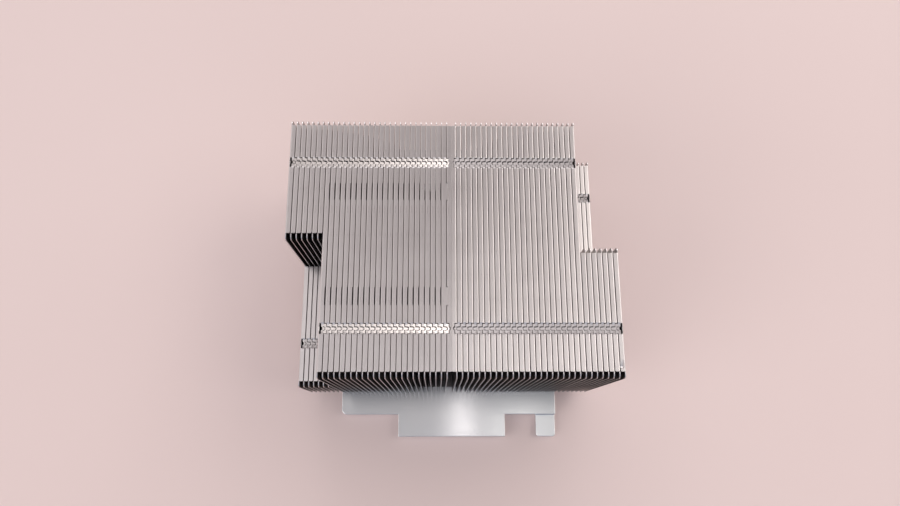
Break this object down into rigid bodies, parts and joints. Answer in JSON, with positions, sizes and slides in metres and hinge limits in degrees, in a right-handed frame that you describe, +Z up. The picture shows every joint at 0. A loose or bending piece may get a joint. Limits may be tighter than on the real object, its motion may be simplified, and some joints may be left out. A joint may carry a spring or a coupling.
{
  "type": "passive server processor heatsink",
  "caption": "Passive aluminium heatsink: folded fins in two facing halves, stepped low at two opposite corners, on a flat base plate with clamping tongues.",
  "frame": {"origin": "middle of the fin stack, on the base plate's underside, where it meets the processor", "axes": "+Z up from the contact face to the fin tops; +Y along the air channels to the rear; -Y the front; +X to the right across the fins"},
  "size_m": [0.0998, 0.1114, 0.064],
  "materials": {
    "base_plate": "brushed across the plate, satin",
    "fin_sheet": "mill-finish sheet, satin"
  },
  "bodies": {
    "root": {"base_plate": "base_plate", "left_fin_08": "fin_sheet", "left_fin_09": "fin_sheet", "left_fin_10": "fin_sheet", "left_fin_11": "fin_sheet", "left_fin_12": "fin_sheet", "left_fin_13": "fin_sheet", "left_fin_14": "fin_sheet", "left_fin_15": "fin_sheet", "left_fin_16": "fin_sheet", "left_fin_17": "fin_sheet", "left_fin_18": "fin_sheet", "left_fin_19": "fin_sheet", "left_fin_20": "fin_sheet", "left_fin_21": "fin_sheet", "left_fin_22": "fin_sheet", "left_fin_23": "fin_sheet", "left_fin_24": "fin_sheet", "left_fin_25": "fin_sheet", "left_fin_26": "fin_sheet", "left_fin_27": "fin_sheet", "left_fin_pair_28": "fin_sheet", "left_fin_pair_30": "fin_sheet", "left_stepped_fin_01": "fin_sheet", "left_stepped_fin_02": "fin_sheet", "left_stepped_fin_03": "fin_sheet", "left_stepped_fin_04": "fin_sheet", "left_stepped_fin_05": "fin_sheet", "left_stepped_fin_06": "fin_sheet", "left_stepped_fin_07": "fin_sheet", "right_fin_08": "fin_sheet", "right_fin_09": "fin_sheet", "right_fin_10": "fin_sheet", "right_fin_11": "fin_sheet", "right_fin_12": "fin_sheet", "right_fin_13": "fin_sheet", "right_fin_14": "fin_sheet", "right_fin_15": "fin_sheet", "right_fin_16": "fin_sheet", "right_fin_17": "fin_sheet", "right_fin_18": "fin_sheet", "right_fin_19": "fin_sheet", "right_fin_20": "fin_sheet", "right_fin_21": "fin_sheet", "right_fin_22": "fin_sheet", "right_fin_23": "fin_sheet", "right_fin_24": "fin_sheet", "right_fin_25": "fin_sheet", "right_fin_26": "fin_sheet", "right_fin_27": "fin_sheet", "right_fin_pair_28": "fin_sheet", "right_fin_pair_30": "fin_sheet", "right_stepped_fin_01": "fin_sheet", "right_stepped_fin_02": "fin_sheet", "right_stepped_fin_03": "fin_sheet", "right_stepped_fin_04": "fin_sheet", "right_stepped_fin_05": "fin_sheet", "right_stepped_fin_06": "fin_sheet", "right_stepped_fin_07": "fin_sheet"}
  },
  "joints": []
}
